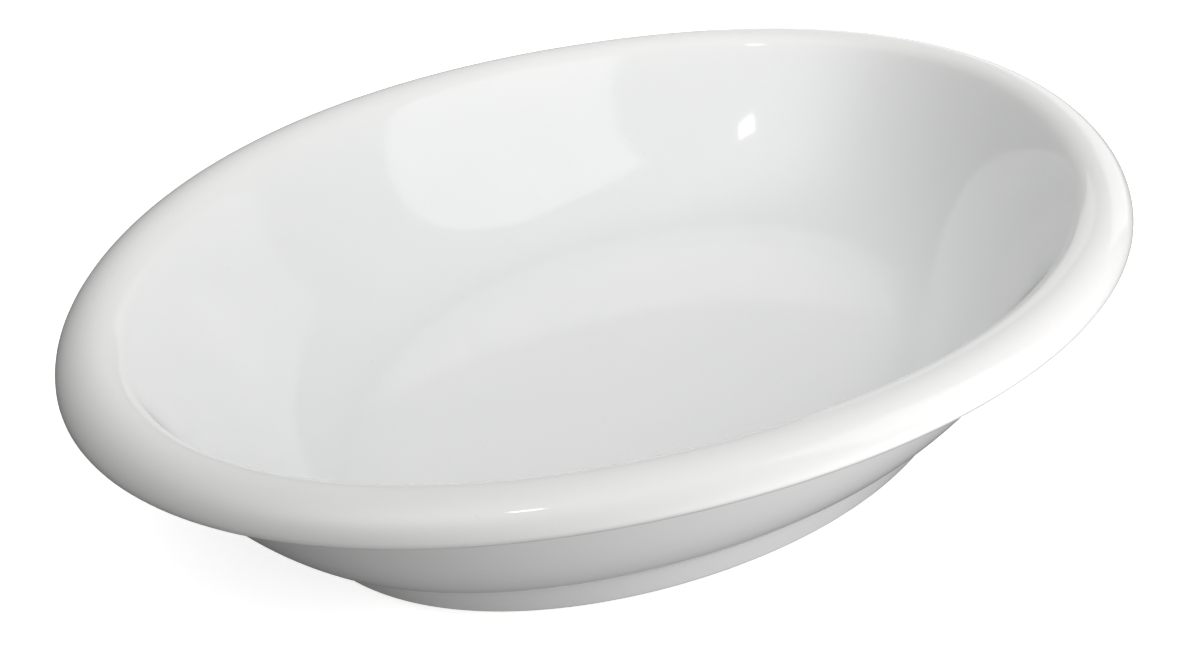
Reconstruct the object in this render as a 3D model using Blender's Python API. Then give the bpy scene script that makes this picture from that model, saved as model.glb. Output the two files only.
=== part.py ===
"""Oval glazed ceramic bedpan: an open dish with a heavy rolled rim and a foot ring.

The clay is one pressed and fired piece. It carries two separate coats of glaze: one over the
inside, the rim and the outer wall, and one under the base. The ring that it stands on is wiped
clean of glaze before firing, and parts the two coats.

Metres, +Z up. The origin is on the table under the middle of the dish; the length runs along X.
A section is a list of stations. Each station is one level oval, given by its half length, its
half width and its height, and a surface is laid through them from the middle outwards.
"""
import math
from collections import namedtuple

import bmesh
import bpy
from mathutils import Vector

# Overall sizes of the glazed dish.
OVERALL_LENGTH = 0.380
OVERALL_WIDTH = 0.264
OVERALL_HEIGHT = 0.0645
DIAGONAL_DRAW = 0.02         # share by which the oval's diagonals draw in from a true ellipse

# Rolled rim, measured from its crest.
ROLL_OUTER_REACH = 0.0084    # crest to the widest edge, measured level
ROLL_INNER_REACH = 0.0091    # crest to where the inner shoulder would stand upright
ROLL_OUTER_DROP = 0.0070     # crest down to the widest edge
ROLL_INNER_DROP = 0.0080     # crest down to where the inner shoulder would stand upright
ROLL_LIP = 0.0038            # widest edge down to the underside
ROLL_TUCK = 0.0040           # height of the hollow fillet between underside and wall
SHOULDER_TURN = math.radians(60)   # how far the inner shoulder turns before the wall takes over

# Wall, floor and foot.
WALL = 0.0090                # wall thickness, measured level
WALL_REACH = 0.0248          # how far down the wall holds the shoulder's lean
WALL_FOOT = 0.0060           # height above the crease where the wall turns in to meet it
FLOOR_HEIGHT = 0.0080        # inside floor above the table
FLOOR_CURVE = 0.0270         # how far in from the squared-off corner the flat floor ends
CORNER_REACH = 0.0055        # how far that corner lies past a 45 degree line down from the crease
FOOT_LENGTH = 0.257          # foot ring at the table
FOOT_WIDTH = 0.1735
FOOT_FLARE = 1.082           # how many times its size at the table the ring is at its top
FOOT_HEIGHT = 0.0135         # table up to the ring's top, where a crease parts it from the wall

# Standing ring and base.
STANDING_WIDTH = 0.0060      # flat, bare face that touches the table
STANDING_ROUND = 0.0015      # rounded outer edge of that face
BASE_RECESS = 0.0020         # glazed base above the table
BASE_SLOPE = 0.0050          # level width of the slope from the standing ring up to the base
SLOPE_RISE = 0.85            # share of the recess that the slope has reached half way along

# Glaze.
GLAZE = 0.0005               # thickness of a fired coat
SEAT_GAP = 0.0003            # kept between coat and clay
GLAZE_LINE = 0.0012          # height above the table where the outer coat ends
BASE_GLAZE_LINE = 0.0009     # height above the table where the base coat ends

# Fineness of the surfaces.
SEGMENTS = 64
WALL_STEPS = 9
SHOULDER_STEPS = 3
ROLL_STEPS = 4
LIP_STEPS = 3
TUCK_STEPS = 2
OUTER_STEPS = 5
SHARP_ANGLE = math.radians(35)     # a turn sharper than this is shaded as an edge

Station = namedtuple("Station", "half_length half_width height")


def grown(station, outward, up=0.0):
    """The same oval, moved outwards all round and upwards."""
    return Station(station.half_length + outward, station.half_width + outward, station.height + up)


def between(first, second, share):
    """The oval that lies a share of the way from the first to the second."""
    return Station(*(a + (b - a) * share for a, b in zip(first, second)))


def at_height(stations, height):
    """The oval that a rising run of stations has at a height."""
    for lower, higher in zip(stations, stations[1:]):
        if higher.height >= height:
            return between(lower, higher, (height - lower.height) / (higher.height - lower.height))
    return stations[-1]


def bezier(controls, steps):
    """Stations along a Bezier curve, without its first point."""
    curve = []
    for step in range(1, steps + 1):
        points = controls
        while len(points) > 1:
            points = [between(a, b, step / steps) for a, b in zip(points, points[1:])]
        curve.append(points[0])
    return curve


def oval_point(station, segment):
    """One point of an oval, counted anticlockwise from the +X end."""
    turn = 2 * math.pi * segment / SEGMENTS
    draw = 1 - DIAGONAL_DRAW * math.sin(2 * turn) ** 2
    return Vector((station.half_length * draw * math.cos(turn),
                   station.half_width * draw * math.sin(turn),
                   station.height))


def laid_surface(stations):
    """Rows of points, one row for each oval from the innermost to the last."""
    return [[oval_point(station, segment) for segment in range(SEGMENTS)] for station in stations]


def sunk(rows, depth, middle_up):
    """The same rows moved into the clay, so that every face lies the same depth under its own.

    middle_up is 1 where the middle of the surface faces up and -1 where it faces down.
    """
    moved = []
    for number, row in enumerate(rows):
        before = rows[number - 1] if number else [Vector((0, 0, row[0].z))] * SEGMENTS
        new_row = []
        for segment, point in enumerate(row):
            around = row[(segment + 1) % SEGMENTS] - row[segment - 1]
            inner_face = (point - before[segment]).cross(around).normalized()
            outer_face = inner_face
            if number + 1 < len(rows):
                outer_face = (rows[number + 1][segment] - point).cross(around).normalized()
            normal = (inner_face + outer_face).normalized()
            new_row.append(point - normal * (middle_up * depth / normal.dot(inner_face)))
        moved.append(new_row)
    return moved


def closed_solid(name, upper_rows, lower_rows, material):
    """A solid between two surfaces, each closed at its middle, joined along their outer rims.

    Every surface is cut into triangles the same way, so that a coat lies evenly on its clay.
    """
    mesh = bmesh.new()
    rims = []
    for rows in (upper_rows, lower_rows):
        middle = mesh.verts.new((0, 0, rows[0][0].z))
        loops = [[mesh.verts.new(point) for point in row] for row in rows]
        for segment in range(SEGMENTS):
            following = (segment + 1) % SEGMENTS
            mesh.faces.new((middle, loops[0][segment], loops[0][following]))
            for inner, outer in zip(loops, loops[1:]):
                mesh.faces.new((inner[segment], outer[segment], outer[following]))
                mesh.faces.new((inner[segment], outer[following], inner[following]))
        rims.append(loops[-1])
    upper, lower = rims
    for segment in range(SEGMENTS):
        following = (segment + 1) % SEGMENTS
        mesh.faces.new((upper[segment], lower[segment], lower[following]))
        mesh.faces.new((upper[segment], lower[following], upper[following]))
    bmesh.ops.recalc_face_normals(mesh, faces=mesh.faces)
    data = bpy.data.meshes.new(name)
    mesh.to_mesh(data)
    mesh.free()
    data.shade_smooth()
    data.set_sharp_from_angle(angle=SHARP_ANGLE)
    data.materials.append(material)
    node = bpy.data.objects.new(name, data)
    bpy.context.collection.objects.link(node)
    return node


def ceramic_material(name, colour, roughness, coat):
    """A ceramic surface: glossy where it has a coat, chalky where it has none."""
    material = bpy.data.materials.new(name)
    material.use_nodes = True
    shader = material.node_tree.nodes["Principled BSDF"]
    shader.inputs["Base Color"].default_value = (*colour, 1)
    shader.inputs["Roughness"].default_value = roughness
    shader.inputs["Metallic"].default_value = 0.0
    shader.inputs["Coat Weight"].default_value = coat
    return material


for old in list(bpy.data.objects):
    bpy.data.objects.remove(old, do_unlink=True)

# Rim: the crest is the highest line of the dish, and the roll turns about it.
crest = Station(OVERALL_LENGTH / 2 - ROLL_OUTER_REACH, OVERALL_WIDTH / 2 - ROLL_OUTER_REACH,
                OVERALL_HEIGHT)


def roll(turn, reach, drop):
    """A station on the roll, by its turn from the crest; a reach below zero goes inwards."""
    return grown(crest, reach * math.sin(turn), -drop * (1 - math.cos(turn)))


shoulder = [roll(SHOULDER_TURN * step / SHOULDER_STEPS, -ROLL_INNER_REACH, ROLL_INNER_DROP)
            for step in range(SHOULDER_STEPS, 0, -1)]
over_roll = [roll(math.pi / 2 * step / ROLL_STEPS, ROLL_OUTER_REACH, ROLL_OUTER_DROP)
             for step in range(ROLL_STEPS + 1)]
widest_height = OVERALL_HEIGHT - ROLL_OUTER_DROP
under_lip = [Station(crest.half_length + ROLL_OUTER_REACH * math.cos(turn),
                     crest.half_width + ROLL_OUTER_REACH * math.cos(turn),
                     widest_height - ROLL_LIP * math.sin(turn))
             for turn in (math.pi / 2 * step / LIP_STEPS for step in range(1, LIP_STEPS + 1))]

# Foot: it narrows from the crease down to the ring's edge at the table.
foot_edge = Station(FOOT_LENGTH / 2, FOOT_WIDTH / 2, 0.0)
crease = Station(foot_edge.half_length * FOOT_FLARE, foot_edge.half_width * FOOT_FLARE, FOOT_HEIGHT)

# Inside: flat floor, a wide hollow curve above the crease, then the wall up to the shoulder.
crease_to_floor = FOOT_HEIGHT - FLOOR_HEIGHT
floor_corner = grown(crease, CORNER_REACH - crease_to_floor, -crease_to_floor)
floor_edge = grown(floor_corner, -FLOOR_CURVE)
lean_outward = ROLL_INNER_REACH * math.cos(SHOULDER_TURN)
lean_down = ROLL_INNER_DROP * math.sin(SHOULDER_TURN)
lean_length = math.hypot(lean_outward, lean_down)
wall_lean = grown(shoulder[0], -WALL_REACH * lean_outward / lean_length,
                  -WALL_REACH * lean_down / lean_length)
inner_wall = bezier([floor_edge, floor_corner, wall_lean, shoulder[0]], WALL_STEPS)

# Outside: under the roll, down at the wall's thickness from the inside, then in to the crease.
wall_top_height = widest_height - ROLL_LIP - ROLL_TUCK
wall_foot_height = FOOT_HEIGHT + WALL_FOOT
outer_wall = [grown(at_height(inner_wall, wall_top_height
                              + (wall_foot_height - wall_top_height) * step / OUTER_STEPS), WALL)
              for step in range(OUTER_STEPS + 1)] + [crease]
tuck_corner = Station(outer_wall[0].half_length, outer_wall[0].half_width, under_lip[-1].height)
tuck = bezier([under_lip[-1], tuck_corner, outer_wall[0]], TUCK_STEPS)
glaze_end = between(foot_edge, crease, GLAZE_LINE / FOOT_HEIGHT)

glazed_surface = laid_surface([floor_edge] + inner_wall + shoulder[1:] + over_roll + under_lip
                              + tuck + outer_wall[1:] + [glaze_end])

# Under the foot: rounded edge, flat bare face, then the slope up to the glazed base.
bare_edge = grown(foot_edge, -GLAZE - SEAT_GAP)
standing_outer = grown(bare_edge, -STANDING_ROUND)
standing_inner = grown(standing_outer, -STANDING_WIDTH)
base_edge = grown(standing_inner, -BASE_SLOPE, BASE_RECESS)
slope_top = grown(standing_inner, -BASE_SLOPE / 2, BASE_RECESS * SLOPE_RISE)
base_glaze_end = grown(standing_inner, -BASE_SLOPE / 4, BASE_GLAZE_LINE)
base_surface = laid_surface([base_edge, slope_top, base_glaze_end])

round_middle = STANDING_ROUND * (1 - math.cos(math.pi / 4))
rounding = grown(bare_edge, -round_middle, round_middle)
standing_ring = laid_surface([standing_inner, standing_outer, rounding])

glaze_white = (0.85, 0.86, 0.85)
pan_body = closed_solid(
    "pan_body",
    sunk(glazed_surface, GLAZE + SEAT_GAP, 1),
    sunk(base_surface, GLAZE + SEAT_GAP, -1) + standing_ring,
    ceramic_material("bare clay", (0.78, 0.74, 0.67), roughness=0.8, coat=0.0))
glaze_coat = closed_solid(
    "glaze_coat",
    glazed_surface,
    sunk(glazed_surface, GLAZE, 1),
    ceramic_material("main glaze", glaze_white, roughness=0.08, coat=0.3))
base_glaze = closed_solid(
    "base_glaze",
    sunk(base_surface, GLAZE, -1),
    base_surface,
    ceramic_material("base glaze", glaze_white, roughness=0.12, coat=0.2))

dish = bpy.data.objects.new("dish", None)
bpy.context.collection.objects.link(dish)
for node in (pan_body, glaze_coat, base_glaze):
    node.parent = dish
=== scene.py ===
"""The looks of an oval glazed ceramic bedpan, standing on a pale studio floor."""
import math

import bmesh
import bpy
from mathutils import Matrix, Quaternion, Vector, noise


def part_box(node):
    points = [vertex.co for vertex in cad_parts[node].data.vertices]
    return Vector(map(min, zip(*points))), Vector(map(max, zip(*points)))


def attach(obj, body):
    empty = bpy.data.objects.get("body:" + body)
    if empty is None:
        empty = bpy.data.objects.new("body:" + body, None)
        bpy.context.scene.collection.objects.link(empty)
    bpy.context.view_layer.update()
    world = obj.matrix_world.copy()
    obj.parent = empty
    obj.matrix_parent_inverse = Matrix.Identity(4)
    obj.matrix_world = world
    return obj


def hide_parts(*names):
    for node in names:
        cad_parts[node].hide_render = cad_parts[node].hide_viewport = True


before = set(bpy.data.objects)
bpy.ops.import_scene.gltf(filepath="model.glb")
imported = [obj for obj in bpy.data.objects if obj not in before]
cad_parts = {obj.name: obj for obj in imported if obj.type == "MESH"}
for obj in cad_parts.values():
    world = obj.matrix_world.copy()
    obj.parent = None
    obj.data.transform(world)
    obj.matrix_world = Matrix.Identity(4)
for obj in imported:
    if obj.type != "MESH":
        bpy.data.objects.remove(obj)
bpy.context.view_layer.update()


# ---- Clay body -------------------------------------------------------------------------------
# One piece of dense white clay, pressed over a mould that forms its inside, with the rim rolled
# outwards and the foot turned. It shows only at the ring it stands on, which is wiped clean before
# firing.

oval_segments = 288
diagonal_draw = 0.02         # share by which the diagonals draw in from a true ellipse
hand_wander = 0.0012         # share by which a hand-shaped oval strays inside its true size
wander_length = 0.085        # how far apart the high and low places lie
wander_apart = Vector((7, 3, 5))     # parts the wander of the heights from that of the ovals
hollow_radius = 0.016        # a hollow of this radius counts as a tight one
hollow_blend = 2             # rings each side that a ring's hollowness is evened with

# A ring is one level oval: half length, half width, height.
_, rim_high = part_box("glaze_coat")
roll_outer_reach, roll_inner_reach = 0.0084, 0.0091
roll_outer_drop, roll_inner_drop, roll_lip = 0.0070, 0.0080, 0.0038
crest = Vector((rim_high.x - roll_outer_reach, rim_high.y - roll_outer_reach, rim_high.z))
shoulder_turn = math.radians(60)
wall_reach = 0.0248          # how far down the inside wall holds the shoulder's lean
wall_thickness = 0.0090      # inside wall to outside wall, measured level
wall_foot_rise = 0.0060      # height above the crease where the outer wall turns in
wall_run_on = 0.0035         # how far the outer wall's line runs on into that turn
fillet_height = 0.0040       # hollow fillet between the roll's underside and the wall
foot_edge = Vector((0.1285, 0.08675, 0.0))
foot_flare = 1.082           # how many times its size at the table the foot is at its top
foot_height = 0.0135
crease = Vector((foot_edge.x * foot_flare, foot_edge.y * foot_flare, foot_height))
crease_round = 0.0007        # rounding each side of the crease between foot and wall
floor_height = 0.0080
floor_curve = 0.0270         # how far in from the wall's foot the flat floor ends
corner_reach = 0.0055        # how far the wall's foot lies past a 45 degree line from the crease
skin_depth = 0.0008          # clay under the main glaze
wiped_line = 0.0012          # height to which the foot is wiped clean


def outward(ring, reach, rise=0.0):
    """The same oval, grown by a reach all round and raised."""
    return ring + Vector((reach, reach, rise))


def curve_through(controls, steps):
    """Rings along a Bezier curve through its control rings, without the first one."""
    rings = []
    for step in range(1, steps + 1):
        points = controls
        while len(points) > 1:
            points = [a.lerp(b, step / steps) for a, b in zip(points, points[1:])]
        rings.append(points[0])
    return rings


def quarter_roll(centre, reach, drop, first_turn, last_turn, steps):
    """Rings round a quarter of the rolled rim, by their turn from the crest."""
    turns = [first_turn + (last_turn - first_turn) * step / steps for step in range(1, steps + 1)]
    return [outward(centre, reach * math.sin(turn), drop * math.cos(turn)) for turn in turns]


def sunk_rings(rings, depth):
    """The same rings moved square to the surface, into the clay."""
    sunk = []
    for number, ring in enumerate(rings):
        run = rings[min(number + 1, len(rings) - 1)] - rings[max(number - 1, 0)]
        long_run = Vector((run.x, run.z)).normalized()
        wide_run = Vector((run.y, run.z)).normalized()
        rise = (long_run.x + wide_run.x) / 2
        sunk.append(ring + depth * Vector((-long_run.y, -wide_run.y, rise)))
    return sunk


def oval_loop(mesh, ring):
    """A closed loop of edges on a ring, from a round one of radius 1."""
    made = bmesh.ops.create_circle(mesh, segments=oval_segments, radius=1)
    for vert in made["verts"]:
        turn = math.atan2(vert.co.y, vert.co.x)
        vert.co *= 1 - diagonal_draw * math.sin(2 * turn) ** 2
    bmesh.ops.scale(mesh, vec=(ring.x, ring.y, 1), verts=made["verts"])
    bmesh.ops.translate(mesh, vec=(0, 0, ring.z), verts=made["verts"])
    return list({edge for vert in made["verts"] for edge in vert.link_edges})


def close_middle(mesh, loop):
    """A loop is closed by a fan of faces to its middle."""
    cap = bmesh.ops.edgeloop_fill(mesh, edges=loop)["faces"]
    bmesh.ops.poke(mesh, faces=cap)


def hollowness(rings):
    """How hollow the section is at each ring, from -1 on a tight round to 1 in a tight hollow."""
    turns = [0.0]
    for before, ring, after in zip(rings, rings[1:], rings[2:]):
        run_in = Vector((ring.x - before.x, ring.z - before.z))
        run_out = Vector((after.x - ring.x, after.z - ring.z))
        bend = run_in.angle_signed(run_out, 0) * 2 / (run_in.length + run_out.length)
        turns.append(math.tanh(bend * hollow_radius))
    turns.append(0.0)
    blended = 2 * hollow_blend + 1
    return [sum(turns[max(place - hollow_blend, 0):place + hollow_blend + 1]) / blended
            for place in range(len(turns))]


def drawn_skin(rings, first_end_open=False):
    """A skin: each loop is extruded from the last, and the ends are closed in their middles."""
    mesh = bmesh.new()
    hollow_layer = mesh.verts.layers.float.new("hollow")
    first_loop = loop = oval_loop(mesh, rings[0])
    for last, ring, hollow in zip(rings, rings[1:], hollowness(rings)[1:]):
        made = bmesh.ops.extrude_edge_only(mesh, edges=loop)["geom"]
        verts = [item for item in made if isinstance(item, bmesh.types.BMVert)]
        loop = [item for item in made if isinstance(item, bmesh.types.BMEdge)]
        bmesh.ops.scale(mesh, vec=(ring.x / last.x, ring.y / last.y, 1), verts=verts)
        bmesh.ops.translate(mesh, vec=(0, 0, ring.z - last.z), verts=verts)
        for vert in verts:
            vert[hollow_layer] = hollow
    if not first_end_open:
        close_middle(mesh, first_loop)
    close_middle(mesh, loop)
    return mesh


def strayed_by_hand(mesh):
    """Every point is drawn in a little, so that the ovals wander as hand-shaped clay does."""
    for vert in mesh.verts:
        place = vert.co / wander_length
        level = 0.5 + 0.5 * noise.noise(place)
        upright = 0.5 + 0.5 * noise.noise(place + wander_apart)
        vert.co.x *= 1 - hand_wander * level
        vert.co.y *= 1 - hand_wander * level
        vert.co.z *= 1 - hand_wander * upright


def finished_piece(mesh, name, material):
    """A piece with its faces pointing outwards, shaded smooth."""
    bmesh.ops.recalc_face_normals(mesh, faces=mesh.faces)
    data = bpy.data.meshes.new(name)
    mesh.to_mesh(data)
    mesh.free()
    data.shade_smooth()
    data.materials.append(material)
    piece = bpy.data.objects.new(name, data)
    bpy.context.collection.objects.link(piece)
    return piece


def new_material(name, colour, roughness):
    """A material, with its node tree and its shader."""
    material = bpy.data.materials.new(name)
    material.use_nodes = True
    shader = material.node_tree.nodes["Principled BSDF"]
    shader.inputs["Base Color"].default_value = (*colour, 1)
    shader.inputs["Roughness"].default_value = roughness
    return material, material.node_tree, shader


def grain(tree, scale, detail, spread=0.5):
    """A noise on the piece's own coordinates, in metres."""
    place = tree.nodes.new("ShaderNodeTexCoord")
    texture = tree.nodes.new("ShaderNodeTexNoise")
    texture.inputs["Scale"].default_value = scale
    texture.inputs["Detail"].default_value = detail
    texture.inputs["Roughness"].default_value = spread
    tree.links.new(place.outputs["Object"], texture.inputs["Vector"])
    return texture.outputs["Fac"]


def remapped(tree, value, span, new_span=(0, 1)):
    """A value stretched from one span to another, and kept inside it."""
    ramp = tree.nodes.new("ShaderNodeMapRange")
    ramp.inputs["From Min"].default_value, ramp.inputs["From Max"].default_value = span
    ramp.inputs["To Min"].default_value, ramp.inputs["To Max"].default_value = new_span
    tree.links.new(value, ramp.inputs["Value"])
    return ramp.outputs["Result"]


def tinted(tree, base, share, colour):
    """A colour mixed over another by a share; the base is a colour or a socket."""
    mix = tree.nodes.new("ShaderNodeMix")
    mix.data_type = "RGBA"
    tree.links.new(share, mix.inputs["Factor"])
    if isinstance(base, tuple):
        mix.inputs["A"].default_value = (*base, 1)
    else:
        tree.links.new(base, mix.inputs["A"])
    mix.inputs["B"].default_value = (*colour, 1)
    return mix.outputs["Result"]


def embossed(tree, shader, heights):
    """Bumps of the given heights, in metres, one over the other."""
    below = None
    for height, depth in heights:
        bump = tree.nodes.new("ShaderNodeBump")
        bump.inputs["Distance"].default_value = depth
        tree.links.new(height, bump.inputs["Height"])
        if below:
            tree.links.new(below, bump.inputs["Normal"])
        below = bump.outputs["Normal"]
    tree.links.new(below, shader.inputs["Normal"])


# Inside: from the rim's crest over the shoulder, down the wall and across the floor.
shoulder = outward(crest, -roll_inner_reach * math.sin(shoulder_turn),
                   -roll_inner_drop * (1 - math.cos(shoulder_turn)))
lean = Vector((roll_inner_reach * math.cos(shoulder_turn),
               roll_inner_drop * math.sin(shoulder_turn)))
lean = lean.normalized() * wall_reach
wall_lean = outward(shoulder, -lean.x, -lean.y)
crease_to_floor = crease.z - floor_height
floor_corner = outward(crease, corner_reach - crease_to_floor, -crease_to_floor)
floor_edge = outward(floor_corner, -floor_curve)
floor_shares = (0.94, 0.87, 0.79, 0.7, 0.6, 0.5, 0.4, 0.3, 0.2, 0.1)
shoulder_rings = quarter_roll(outward(crest, 0, -roll_inner_drop), -roll_inner_reach,
                              roll_inner_drop, 0, shoulder_turn, steps=9)
wall_rings = curve_through([shoulder, wall_lean, floor_corner, floor_edge], steps=44)
floor_rings = [Vector((floor_edge.x * share, floor_edge.y * share, floor_height))
               for share in floor_shares]

# Outside: the wall keeps its thickness, turns in to the crease and runs down the foot.
lip_centre = outward(crest, 0, -roll_outer_drop)
lip_height = lip_centre.z - roll_lip
outer_wall = [outward(ring, wall_thickness) for ring in reversed(wall_rings)
              if crease.z + wall_foot_rise < ring.z < lip_height - fillet_height]
top_run = (outer_wall[-1] - outer_wall[-2]).normalized()
fillet_corner = outer_wall[-1] + top_run * (lip_height - outer_wall[-1].z) / top_run.z
bottom_run = (outer_wall[0] - outer_wall[1]).normalized()
turn_in = outer_wall[0] + bottom_run * wall_run_on
crease_above = crease.lerp(turn_in, crease_round / (turn_in - crease).length)
crease_below = crease.lerp(foot_edge, crease_round / (foot_edge - crease).length)
wiped_ring = foot_edge.lerp(crease, wiped_line / crease.z)

foot_rings = curve_through([wiped_ring, crease_below], steps=8)
foot_rings += curve_through([crease_below, crease, crease_above], steps=6)
foot_rings += curve_through([crease_above, turn_in, outer_wall[0]], steps=9)
rim_rings = curve_through([outer_wall[-1], fillet_corner, outward(lip_centre, 0, -roll_lip)],
                          steps=10)
rim_rings += quarter_roll(lip_centre, roll_outer_reach, roll_lip, math.pi, math.pi / 2, steps=10)
rim_rings += quarter_roll(lip_centre, roll_outer_reach, roll_outer_drop, math.pi / 2, 0, steps=12)
surface_rings = ([wiped_ring] + foot_rings + outer_wall[1:] + rim_rings + shoulder_rings
                 + wall_rings + floor_rings)

# Under the foot: rounded edge, flat bare face, then the slope up to the base.
standing_round = 0.0015
standing_width = 0.0060      # flat bare face that touches the table
base_recess = 0.0020         # base above the table
base_slope = 0.0050          # level width of the slope up to the base
slope_swell = 0.35           # share of its width by which the slope's curve runs out under the base
slope_start = 0.4            # share of its width that the curve has crossed half way up
half_way_up = 0.5
bare_edge = outward(foot_edge, -skin_depth)
standing_outer = outward(bare_edge, -standing_round)
standing_inner = outward(standing_outer, -standing_width)
base_edge = outward(standing_inner, -base_slope, base_recess)
base_shares = (0.1, 0.25, 0.4, 0.55, 0.7, 0.85, 1)
base_rings = [Vector((base_edge.x * share, base_edge.y * share, base_recess))
              for share in base_shares]
base_rings += curve_through([base_edge, outward(base_edge, base_slope * slope_swell),
                             outward(standing_inner, -base_slope * slope_start,
                                     base_recess * half_way_up), standing_inner], steps=12)
standing_rings = curve_through([standing_inner, standing_outer], steps=6)
standing_rings += curve_through([standing_outer, bare_edge, outward(bare_edge, 0, standing_round)],
                                steps=6)

# The clay lies deeper where a coat covers it, and comes up to the surface at the standing ring.
# Under the main coat, where it can't be seen, every third ring is enough.
bare_slope = 3               # rings of the slope next to the standing ring that are bare
slope_step = 2               # rings over which the clay comes up from under the base coat
clay_skin = sunk_rings(surface_rings, skin_depth)[1::3]
clay_base = sunk_rings(base_rings, skin_depth)[:-(bare_slope + slope_step)]
clay_mesh = drawn_skin(clay_base + base_rings[-bare_slope:] + standing_rings + clay_skin)
strayed_by_hand(clay_mesh)

fired_clay, clay_soiling, iron_speck = (0.62, 0.57, 0.49), (0.36, 0.32, 0.27), (0.30, 0.20, 0.13)
clay_paint, clay_tree, clay_shader = new_material("bare clay", fired_clay, 0.85)
clay_grit = grain(clay_tree, scale=2600, detail=3)
clay_soil = grain(clay_tree, scale=45, detail=5, spread=0.65)
clay_specks = grain(clay_tree, scale=900, detail=1)
clay_colour = tinted(clay_tree, fired_clay,
                     remapped(clay_tree, clay_soil, (0.52, 0.72), (0, 0.6)), clay_soiling)
clay_colour = tinted(clay_tree, clay_colour,
                     remapped(clay_tree, clay_specks, (0.68, 0.74), (0, 0.7)), iron_speck)
clay_tree.links.new(clay_colour, clay_shader.inputs["Base Color"])
clay_tree.links.new(remapped(clay_tree, clay_grit, (0.3, 0.7), (0.75, 0.95)),
                    clay_shader.inputs["Roughness"])
embossed(clay_tree, clay_shader, [(clay_grit, 0.00012),
                                  (grain(clay_tree, scale=420, detail=4), 0.0001)])

clay = finished_piece(clay_mesh, "clay_body", clay_paint)
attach(clay, "root")
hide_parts("pan_body")


# ---- Main glaze ------------------------------------------------------------------------------
# The poured coat of white glaze over the inside, the rolled rim and the outer wall. It is half a
# millimetre thick and ends in a soft bead just above the table. Its colour carries painted shade,
# darker and greener in the tight hollows, and painted warm light, warmer over the tight rounds.

glaze_thickness = 0.0005
bead_draw = 0.0006           # how far in the bead's end is drawn
bead_rings = curve_through([outward(surface_rings[0], -bead_draw), *surface_rings[:2]], steps=6)
glaze_mesh = drawn_skin(bead_rings + surface_rings[2:], first_end_open=True)
strayed_by_hand(glaze_mesh)

glaze_white, cloudy_white = (0.81, 0.812, 0.811), (0.795, 0.80, 0.798)
# The first colour below is a painted shade, darker and greener, for the tight hollows. The second
# is a painted warm light for the tight rounds.
painted_hollow_shade, painted_round_warmth = (0.715, 0.735, 0.73), (0.815, 0.805, 0.79)
glaze_speck = (0.42, 0.36, 0.28)
glaze_paint, glaze_tree, glaze_shader = new_material("white glaze", glaze_white, 0.06)
glaze_hollow = glaze_tree.nodes.new("ShaderNodeAttribute")
glaze_hollow.attribute_name = "hollow"
glaze_hollow = glaze_hollow.outputs["Fac"]
glaze_clouds = grain(glaze_tree, scale=14, detail=4, spread=0.6)
glaze_specks = grain(glaze_tree, scale=700, detail=1)
glaze_gloss = grain(glaze_tree, scale=60, detail=6, spread=0.7)
glaze_pinholes = remapped(glaze_tree, grain(glaze_tree, scale=1300, detail=0), (0.15, 0.21))
glaze_colour = tinted(glaze_tree, glaze_white,
                      remapped(glaze_tree, glaze_clouds, (0.35, 0.75)), cloudy_white)
# Painted shade: darker and greener where the section is hollow, at the crease, the fillets and
# under the roll.
glaze_colour = tinted(glaze_tree, glaze_colour,
                      remapped(glaze_tree, glaze_hollow, (0, 1)), painted_hollow_shade)
# Painted warm light: warmer where the section is a tight round, as on the rolled rim.
glaze_colour = tinted(glaze_tree, glaze_colour,
                      remapped(glaze_tree, glaze_hollow, (0, -1), (0, 0.5)), painted_round_warmth)
glaze_colour = tinted(glaze_tree, glaze_colour,
                      remapped(glaze_tree, glaze_specks, (0.78, 0.81), (0, 0.12)), glaze_speck)
glaze_tree.links.new(glaze_colour, glaze_shader.inputs["Base Color"])
glaze_tree.links.new(remapped(glaze_tree, glaze_gloss, (0.3, 0.75), (0.035, 0.11)),
                     glaze_shader.inputs["Roughness"])
embossed(glaze_tree, glaze_shader, [(grain(glaze_tree, scale=26, detail=1), 0.00014),
                                    (grain(glaze_tree, scale=190, detail=2), 0.000012),
                                    (glaze_pinholes, 0.00002)])

glaze = finished_piece(glaze_mesh, "main_glaze", glaze_paint)
glaze_wall = glaze.modifiers.new("poured thickness", "SOLIDIFY")
glaze_wall.thickness = glaze_thickness
glaze_wall.offset = -1
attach(glaze, "root")
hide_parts("glaze_coat")


# ---- Base glaze ------------------------------------------------------------------------------
# A duller coat of the same glaze, brushed on under the base. It fills the shallow recess inside
# the standing ring and is wiped back before it reaches the ring.

base_coat_rings = base_rings[:-(bare_slope + 1)]
base_coat_mesh = drawn_skin(base_coat_rings + sunk_rings(base_coat_rings, glaze_thickness)[::-1])
strayed_by_hand(base_coat_mesh)

base_white, brushed_thin, base_speck = (0.78, 0.785, 0.77), (0.72, 0.72, 0.69), (0.33, 0.26, 0.19)
base_paint, base_tree, base_shader = new_material("brushed base glaze", glaze_white, 0.14)
base_brush = grain(base_tree, scale=38, detail=5, spread=0.65)
base_specks = grain(base_tree, scale=500, detail=1)
base_colour = tinted(base_tree, base_white,
                     remapped(base_tree, base_brush, (0.4, 0.7)), brushed_thin)
base_colour = tinted(base_tree, base_colour,
                     remapped(base_tree, base_specks, (0.72, 0.76), (0, 0.6)), base_speck)
base_tree.links.new(base_colour, base_shader.inputs["Base Color"])
base_tree.links.new(remapped(base_tree, base_brush, (0.3, 0.7), (0.1, 0.26)),
                    base_shader.inputs["Roughness"])
embossed(base_tree, base_shader, [(base_brush, 0.0005),
                                  (grain(base_tree, scale=260, detail=3), 0.00008)])

base_coat = finished_piece(base_coat_mesh, "brushed_base_glaze", base_paint)
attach(base_coat, "root")
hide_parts("base_glaze")


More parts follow.
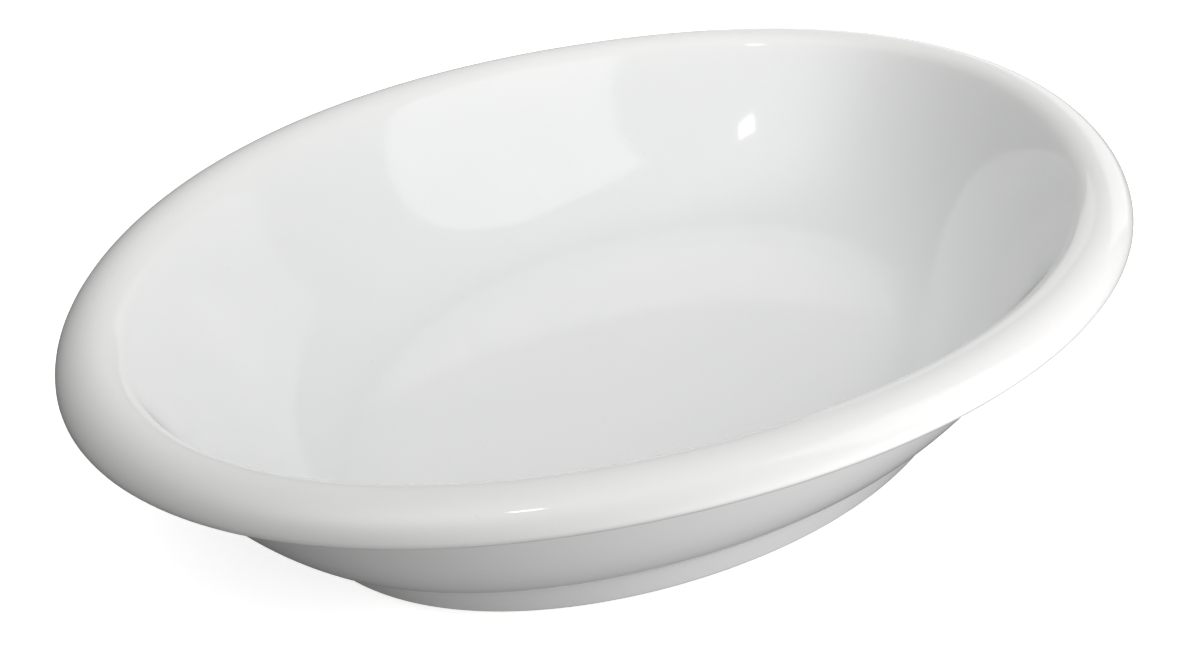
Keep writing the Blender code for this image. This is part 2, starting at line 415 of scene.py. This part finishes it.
# ---- Studio ----------------------------------------------------------------------------------
# A plain white table, two lamps behind cloth, and two windows and a small lamp that the glaze
# mirrors. The table throws no light back up: the glow from below is the air's, so that it can be
# weaker at the near end. The camera looks down along the dish from that end.

table_size, table_glow = 6, 0.7
floor_mesh = bmesh.new()
bmesh.ops.create_grid(floor_mesh, x_segments=1, y_segments=1, size=table_size)
floor_paint, _, floor_shader = new_material("studio floor", (0.92, 0.92, 0.92), 1.0)
floor_shader.inputs["Emission Color"].default_value = (1, 1, 1, 1)
floor_shader.inputs["Emission Strength"].default_value = table_glow
floor = finished_piece(floor_mesh, "studio_floor", floor_paint)
floor.visible_diffuse = floor.visible_glossy = floor.visible_shadow = False

camera_turn = math.radians(-58.7)
camera_rise = math.radians(25.6)
camera_distance = 0.533
camera_roll = math.radians(-0.4)
camera_lens = 49.0
look_at = Vector((0.0297, 0.0354, 0.0))
away = Vector((math.sin(camera_turn) * math.cos(camera_rise),
               -math.cos(camera_turn) * math.cos(camera_rise), math.sin(camera_rise)))
camera_data = bpy.data.cameras.new("camera")
camera_data.lens = camera_lens
camera = bpy.data.objects.new("camera", camera_data)
bpy.context.collection.objects.link(camera)
camera.location = look_at + away * camera_distance
camera_aim = away.to_track_quat("Z", "Y") @ Quaternion((0, 0, 1), camera_roll)
camera.rotation_euler = camera_aim.to_euler()
bpy.context.scene.camera = camera

# The air of the room: dim all round, with broad soft glows from high behind the camera, from
# beyond the dish, and from low on the near side. A glow is its turn, its rise and its strength.
air_dimness = 0.09
air_glows = ((-160, 56, 1.8), (30, 15, 0.45), (-72, -30, 2.9))
glow_tightness = 6.0
world = bpy.data.worlds.new("studio air")
bpy.context.scene.world = world
world.use_nodes = True
air = world.node_tree
air.nodes["Background"].inputs["Color"].default_value = (1, 1, 1, 1)
air_light = air.nodes["Background"].inputs["Strength"]
air_place = air.nodes.new("ShaderNodeTexCoord")
air_sum = air_dimness


def facing(azimuth, elevation):
    """The direction to a place in the room, by its turn from the dish's length and its rise."""
    azimuth, elevation = math.radians(azimuth), math.radians(elevation)
    return Vector((math.cos(azimuth) * math.cos(elevation), math.sin(azimuth) * math.cos(elevation),
                   math.sin(elevation)))


def air_math(operation, first, second):
    """One sum on the air's light; the second number is a value or a socket."""
    node = air.nodes.new("ShaderNodeMath")
    node.operation = operation
    air.links.new(first, node.inputs[0])
    if isinstance(second, float):
        node.inputs[1].default_value = second
    else:
        air.links.new(second, node.inputs[1])
    return node.outputs["Value"]


for azimuth, elevation, strength in air_glows:
    toward = air.nodes.new("ShaderNodeVectorMath")
    toward.operation = "DOT_PRODUCT"
    toward.inputs[1].default_value = facing(azimuth, elevation)
    air.links.new(air_place.outputs["Generated"], toward.inputs[0])
    glow = air_math("MAXIMUM", toward.outputs["Value"], 0.0)
    glow = air_math("MULTIPLY", air_math("POWER", glow, glow_tightness), strength)
    air_sum = air_math("ADD", glow, air_sum)
air.links.new(air_sum, air_light)


def soft_lamp(name, place, aim, width, height, watts):
    """A flat soft lamp that looks at a point on or beside the dish."""
    light = bpy.data.lights.new(name, "AREA")
    light.shape = "RECTANGLE"
    light.size, light.size_y, light.energy = width, height, watts
    lamp = bpy.data.objects.new(name, light)
    bpy.context.collection.objects.link(lamp)
    lamp.location = place
    lamp.rotation_euler = (place - aim).to_track_quat("Z", "Y").to_euler()
    return lamp


dish_middle = Vector((0, 0, 0.03))
side_cloth = soft_lamp("side_cloth", facing(-90, 24) * 0.62, dish_middle,
                       width=0.40, height=0.50, watts=1.25)
top_cloth = soft_lamp("top_cloth", Vector((0.30, -0.05, 0.60)), dish_middle,
                      width=0.40, height=0.40, watts=1.15)
side_cloth.visible_glossy = top_cloth.visible_glossy = False

# Each window stands upright, so it looks level at the dish.
soft_lamp("tall_window", Vector((0.452, -0.860, 0.74)), Vector((0.11, 0.08, 0.74)),
          width=0.73, height=0.98, watts=2.9)
soft_lamp("side_window", Vector((0.91, 0.08, 0.20)), Vector((-0.09, 0.08, 0.20)),
          width=0.73, height=0.33, watts=0.35)
soft_lamp("small_lamp", facing(-128, 57) * 2.5, dish_middle, width=0.20, height=0.20, watts=1.5)

bpy.context.scene.view_settings.view_transform = "Standard"
